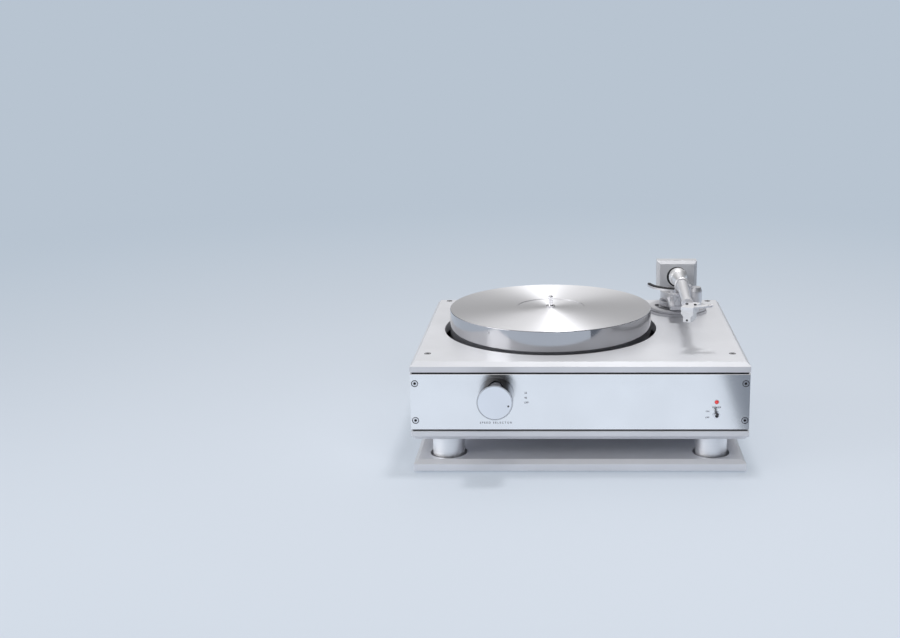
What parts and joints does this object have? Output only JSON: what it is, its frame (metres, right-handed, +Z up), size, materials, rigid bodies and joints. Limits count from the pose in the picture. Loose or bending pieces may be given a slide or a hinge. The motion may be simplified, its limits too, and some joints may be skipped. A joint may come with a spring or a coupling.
{
  "type": "turntable",
  "caption": "Heavy box-plinth record player: thick turned platter sunk in a round well, straight tonearm with block counterweight, large speed knob, lamp and toggle, round legs on a base plate.",
  "frame": {"origin": "on the surface that it stands on, under the centre of the footprint, on the middle pad", "axes": "+X to the right seen from the front, +Y to the back, +Z up"},
  "size_m": [0.482, 0.443, 0.2412],
  "materials": {
    "plate_metal": "satin",
    "panel_metal": "satin",
    "leg_metal": "polished",
    "platter_metal": "turned",
    "inner_metal": "matt",
    "screw_steel": "satin",
    "bearing_steel": "polished",
    "bush_brass": "satin",
    "pad_rubber": "matt",
    "knob_metal": "polished",
    "switch_chrome": "polished",
    "lamp_red": "gloss",
    "black_plastic": "matt",
    "socket_brass": "polished",
    "motor_steel": "matt",
    "board_green": "matt",
    "arm_metal": "satin",
    "hub_metal": "gloss",
    "tube_metal": "satin",
    "cartridge_white": "gloss",
    "stylus_steel": "polished"
  },
  "bodies": {
    "chassis": {"base_plate": "plate_metal", "base_pads": "pad_rubber", "isolator_pucks": "pad_rubber", "leg_front_left": "leg_metal", "leg_front_right": "leg_metal", "leg_rear_left": "leg_metal", "leg_rear_right": "leg_metal", "bottom_plate": "plate_metal", "front_panel": "panel_metal", "rear_panel": "panel_metal", "side_panel_left": "panel_metal", "side_panel_right": "panel_metal", "corner_posts": "inner_metal", "gasket_strips": "pad_rubber", "top_plate": "plate_metal", "plate_screws": "screw_steel", "panel_screws": "screw_steel", "sub_chassis": "inner_metal", "standoffs": "inner_metal", "sub_chassis_bolts": "screw_steel", "bearing_housing": "inner_metal", "bearing_bush": "bush_brass", "thrust_ball": "bearing_steel", "motor": "motor_steel", "drive_belt": "pad_rubber", "selector_switch": "black_plastic", "toggle_body": "switch_chrome", "power_lamp": "lamp_red", "mains_inlet": "black_plastic", "output_sockets": "socket_brass", "ground_post": "socket_brass", "control_board": "board_green", "transformer": "motor_steel", "arm_flange": "arm_metal"},
    "platter_rotor": {"platter": "platter_metal", "sub_platter": "platter_metal", "bearing_shaft": "bearing_steel", "spindle_collar": "bearing_steel"},
    "motor_rotor": {"motor_pulley": "bearing_steel"},
    "knob": {"speed_knob": "knob_metal"},
    "toggle": {"toggle_lever": "switch_chrome"},
    "arm_base": {"arm_pillar": "arm_metal", "rest_bracket": "arm_metal"},
    "lever": {"cue_lever": "arm_metal"},
    "lift": {"lift_arc": "arm_metal", "lift_pad": "pad_rubber"},
    "yoke": {"arm_yoke": "arm_metal"},
    "arm": {"arm_hub": "hub_metal", "hub_screws": "screw_steel", "arm_tube": "tube_metal", "tube_ring": "hub_metal", "headshell": "tube_metal", "headshell_screws": "screw_steel", "finger_lift": "tube_metal", "cartridge": "cartridge_white", "stylus": "stylus_steel"},
    "weight": {"counterweight": "arm_metal", "decoupling_ring": "pad_rubber"},
    "dial": {"antiskate_dial": "arm_metal"},
    "clip": {"rest_clip": "arm_metal"}
  },
  "joints": [
    {"name": "platter_spin", "type": "hinge", "parent": "chassis", "child": "platter_rotor", "pos_m": [-0.0448, 0.007, 0.1765], "axis": [0, 0, 1], "continuous": true},
    {"name": "motor_spin", "type": "hinge", "parent": "chassis", "child": "motor_rotor", "pos_m": [-0.124, -0.0722, 0.1445], "axis": [0, 0, 1], "continuous": true},
    {"name": "speed_knob_turn", "type": "hinge", "parent": "chassis", "child": "knob", "pos_m": [-0.119, -0.2165, 0.1185], "axis": [0, -1, 0], "range_deg": [0, 60]},
    {"name": "power_toggle", "type": "hinge", "parent": "chassis", "child": "toggle", "pos_m": [0.1936, -0.1993, 0.0885], "axis": [1, 0, 0], "range_deg": [0, 50]},
    {"name": "arm_height_slide", "type": "slide", "parent": "chassis", "child": "arm_base", "axis": [0, 0, 1], "range_m": [-0.0015, 0.004]},
    {"name": "cue_lever_turn", "type": "hinge", "parent": "arm_base", "child": "lever", "pos_m": [0.1694, 0.0728, 0.19], "axis": [1, 0, 0], "range_deg": [0, 40]},
    {"name": "lift_slide", "type": "slide", "parent": "arm_base", "child": "lift", "axis": [0, 0, 1], "range_m": [-0.0062, 0]},
    {"name": "arm_yaw", "type": "hinge", "parent": "arm_base", "child": "yoke", "pos_m": [0.1632, 0.1128, 0.2105], "axis": [0, 0, 1], "range_deg": [-49, 0]},
    {"name": "arm_pitch", "type": "hinge", "parent": "yoke", "child": "arm", "pos_m": [0.1632, 0.1128, 0.2225], "axis": [-1, 0, 0], "range_deg": [-1.7, 8]},
    {"name": "counterweight_slide", "type": "slide", "parent": "arm", "child": "weight", "axis": [0, 1, 0], "range_m": [-0.002, 0.01]},
    {"name": "antiskate_turn", "type": "hinge", "parent": "arm_base", "child": "dial", "pos_m": [0.1917, 0.0918, 0.2055], "axis": [0, 0, 1], "range_deg": [0, 270]},
    {"name": "rest_clip_turn", "type": "hinge", "parent": "arm_base", "child": "clip", "pos_m": [0.1552, 0.0314, 0.1979], "axis": [0, -1, 0], "range_deg": [0, 90]}
  ],
  "couplings": [
    {"joint": "motor_spin", "follows": "platter_spin", "ratio": 6.6667},
    {"joint": "lift_slide", "follows": "cue_lever_turn", "m_per_rad": -0.008594}
  ]
}
